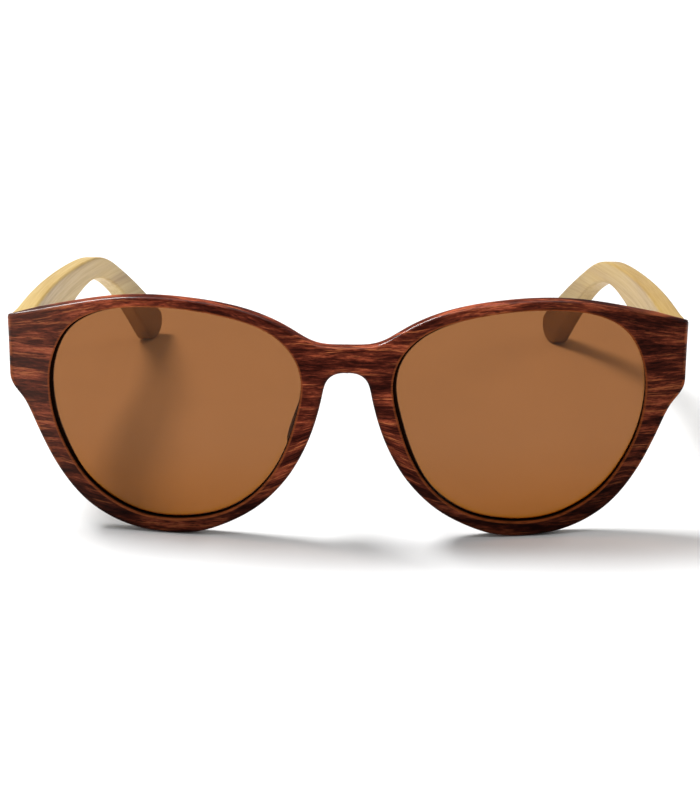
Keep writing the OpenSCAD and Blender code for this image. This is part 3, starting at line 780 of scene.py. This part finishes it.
def lens_glass():
    t = Tree("brown_lens")
    x, y, z = t.xyz()
    mz = t.math("MULTIPLY", z, 1000.0)
    inside, shade, low = t.attr("inside"), t.attr("shade"), t.attr("low")
    # painted reflection: the tint is greyer higher up and warmer towards the bottom; an amber line along the lower edge
    # is painted light where the lens edge glows
    tint = t.mix(t.span(mz, 3, 24), (0.256, 0.0906, 0.0190), (0.264, 0.1076, 0.0365))
    amber = t.math("MULTIPLY", t.span(inside, 1.00 * MM, 0.75 * MM), low)
    tint = t.mix(t.math("MULTIPLY", amber, 0.9), tint, (0.236, 0.0800, 0.0060))
    # shade of the groove along the edge
    dark = t.span(t.math("DIVIDE", inside, shade), 1.25, 0.75)
    glass = t.node("BsdfPrincipled")
    for k, v in (("Roughness", 0.0), ("IOR", 1.2), ("Transmission Weight", 1.0)):
        glass.inputs[k].default_value = v
    t.put(glass.inputs["Base Color"], tint)
    # what falls through the lens as light is dim and nearly grey
    clear = t.node("BsdfTransparent")
    clear.inputs[0].default_value = (0.34, 0.25, 0.20, 1)
    path = t.node("LightPath")
    either = t.math("MAXIMUM", path.outputs["Is Shadow Ray"], path.outputs["Is Diffuse Ray"])
    mixed = t.node("MixShader")
    t.put(mixed.inputs[0], either)
    # painted shade: a black matte surface stands in for the groove's shade along the edge
    groove_shade_black = t.node("BsdfDiffuse")
    groove_shade_black.inputs[0].default_value = (0.010, 0.0035, 0.0015, 1)
    edged = t.node("MixShader")
    t.put(edged.inputs[0], dark)
    t.t.links.new(glass.outputs[0], edged.inputs[1])
    t.t.links.new(groove_shade_black.outputs[0], edged.inputs[2])
    t.t.links.new(edged.outputs[0], mixed.inputs[1])
    t.t.links.new(clear.outputs[0], mixed.inputs[2])
    t.t.links.new(mixed.outputs[0], t.out.inputs[0])
    return t.m


def pad_plastic():
    t = Tree("nose_pad")
    x, y, z = t.xyz()
    p = t.vec(*(t.math("MULTIPLY", k, 1000.0) for k in (x, y, z)))
    n = t.noise(p, 0.7, 3, 0.5)
    col = t.ramp(n, [(0.3, (0.032, 0.014, 0.007)), (0.7, (0.058, 0.025, 0.013))])
    grain = t.noise(p, 14.0, 2, 0.5)
    t.principled(Base_Color=col, Roughness=t.span(grain, 0.3, 0.7, 0.42, 0.55), Normal=t.bump(grain, 0.15, 0.02), IOR=1.5,
                 Specular_IOR_Level=0.25)
    return t.m


def steel(name, base, rough, along, stretch):
    """Brushed steel; along is the axis of the brushing."""
    t = Tree(name)
    k = [t.math("MULTIPLY", c, 1000.0) for c in t.xyz()]
    scales = [22.0, 22.0, 22.0]
    scales[along] = 22.0 / stretch
    p = t.vec(*(t.math("MULTIPLY", c, s) for c, s in zip(k, scales)))
    n = t.noise(p, 1.0, 2, 0.6)
    blot = t.noise(t.vec(*k), 0.5, 2, 0.5)
    col = t.mix(t.span(blot, 0.3, 0.7), tuple(c * 0.9 for c in base), base)
    r = t.math("ADD", t.span(n, 0.3, 0.7, rough - 0.06, rough + 0.08), t.math("MULTIPLY", t.math("SUBTRACT", blot, 0.5), 0.1))
    t.principled(Base_Color=col, Metallic=1.0, Roughness=r, Normal=t.bump(n, 0.07, 0.01))
    return t.m


WOOD, BAMBOO, GLASS, PADMAT = wood_front(), bamboo(), lens_glass(), pad_plastic()
HINGE = steel("hinge_steel", (0.62, 0.61, 0.60), 0.30, 1, 18)
SCREW = steel("screw_steel", (0.66, 0.65, 0.63), 0.24, 2, 1)
WIRE = steel("spring_steel", (0.55, 0.55, 0.56), 0.26, 1, 1)


def dress(ob, mat):
    ob.data.materials.clear()
    ob.data.materials.append(mat)
    for p in ob.data.polygons:
        p.material_index = 0


dress(front, WOOD)
for ob in lenses:
    dress(ob, GLASS)
for ob in pads:
    dress(ob, PADMAT)
for ob in temples:
    dress(ob, BAMBOO)

for name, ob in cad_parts.items():
    if ob.hide_render:
        continue
    mat = WIRE if "spring" in name and "housing" not in name else SCREW if "screw" in name else HINGE
    ob.data.materials.clear()
    ob.data.materials.append(mat)
    for p in ob.data.polygons:
        p.material_index = 0
    if "hinge_spring" not in name:
        b = ob.modifiers.new("edges", "BEVEL")
        b.width = 0.07 * MM if "screw" in name else 0.10 * MM
        b.segments = 2
        b.limit_method = "ANGLE"
        b.angle_limit = math.radians(40)

# ---------------------------------------------------------------- stage
bpy.ops.mesh.primitive_plane_add(size=6.0, location=(0, 0, 0))
floor = bpy.context.active_object
floor.name = "floor"
t = Tree("pale_floor")
x, y, z = t.xyz()
n = t.noise(t.vec(x, y, z), 60.0, 2, 0.5)
col = t.mix(t.span(n, 0.3, 0.7), (0.88, 0.88, 0.88), (0.90, 0.90, 0.90))
# far from the object the paper stays as white as it is near it
far = t.span(t.math("SQRT", t.math("ADD", t.math("MULTIPLY", x, x), t.math("MULTIPLY", y, y))), 0.55, 2.2, 0.0, 0.9)
t.principled(Base_Color=col, Roughness=0.7, Emission_Color=(1.0, 1.0, 1.0), Emission_Strength=far)
dress(floor, t.m)

world = bpy.data.worlds.new("studio")
bpy.context.scene.world = world
world.use_nodes = True
wt = world.node_tree
dim = wt.nodes["Background"]
dim.inputs[0].default_value = (1.0, 1.0, 1.0, 1)
dim.inputs[1].default_value = 0.20
# the backdrop is seen as white paper, also through the lenses
paper = wt.nodes.new("ShaderNodeBackground")
paper.inputs[0].default_value = (1.0, 1.0, 1.0, 1)
paper.inputs[1].default_value = 1.0
seen = wt.nodes.new("ShaderNodeLightPath")
either = wt.nodes.new("ShaderNodeMath")
either.operation = "MAXIMUM"
wt.links.new(seen.outputs["Is Camera Ray"], either.inputs[0])
wt.links.new(seen.outputs["Is Transmission Ray"], either.inputs[1])
both_sides = wt.nodes.new("ShaderNodeMixShader")
wt.links.new(either.outputs[0], both_sides.inputs[0])
wt.links.new(dim.outputs[0], both_sides.inputs[1])
wt.links.new(paper.outputs[0], both_sides.inputs[2])
wt.links.new(both_sides.outputs[0], wt.nodes["World Output"].inputs[0])


def area(name, at, target, size, power, colour=(1, 1, 1)):
    light = bpy.data.lights.new(name, "AREA")
    light.shape, light.size, light.size_y = "RECTANGLE", size[0], size[1]
    light.energy, light.color = power, colour
    ob = bpy.data.objects.new(name, light)
    bpy.context.scene.collection.objects.link(ob)
    ob.location = at
    ob.rotation_mode = "QUATERNION"
    ob.rotation_quaternion = (Vector(target) - Vector(at)).to_track_quat("-Z", "Y")
    return ob


area("key", (-1.12, 0.43, 2.00), (0, 0, 0.0), (0.72, 0.72), 58.0)
area("overhead", (0.0, -0.10, 2.20), (0, 0, 0.0), (1.9, 1.9), 13.0)
area("strip", (0.0, -0.32, 1.0), (0, -0.06, 0.03), (1.3, 0.06), 0.5)
area("left_soft", (-1.05, -0.50, 0.45), (-0.05, -0.06, 0.03), (0.6, 0.5), 1.6)
area("right_rear", (1.35, 0.50, 0.75), (0.0, 0.02, 0.03), (0.8, 0.6), 6.0)

# ---------------------------------------------------------------- camera
yaw, pitch, roll = math.radians(0.5), math.radians(20.9), math.radians(0.35)
aim = Vector((0.69, -DEPTH_HALF, 32.04)) * MM
back = Vector((math.sin(yaw) * math.cos(pitch), -math.cos(yaw) * math.cos(pitch), math.sin(pitch)))
right = Vector((math.cos(yaw), math.sin(yaw), 0))
up = back.cross(right)
r2 = right * math.cos(roll) + up * math.sin(roll)
u2 = back.cross(r2)
cam = bpy.data.objects.new("camera", bpy.data.cameras.new("camera"))
bpy.context.scene.collection.objects.link(cam)
cam.data.sensor_width = 36.0
cam.data.sensor_fit = "AUTO"
cam.data.lens = 2151.2 * 36.0 / 800.0
cam.data.clip_start, cam.data.clip_end = 0.01, 50
cam.rotation_mode = "QUATERNION"
cam.location = aim + back * 0.450
cam.rotation_quaternion = Matrix((r2, u2, back)).transposed().to_quaternion()
bpy.context.scene.camera = cam
bpy.context.scene.view_settings.view_transform = "Standard"

bpy.context.view_layer.update()
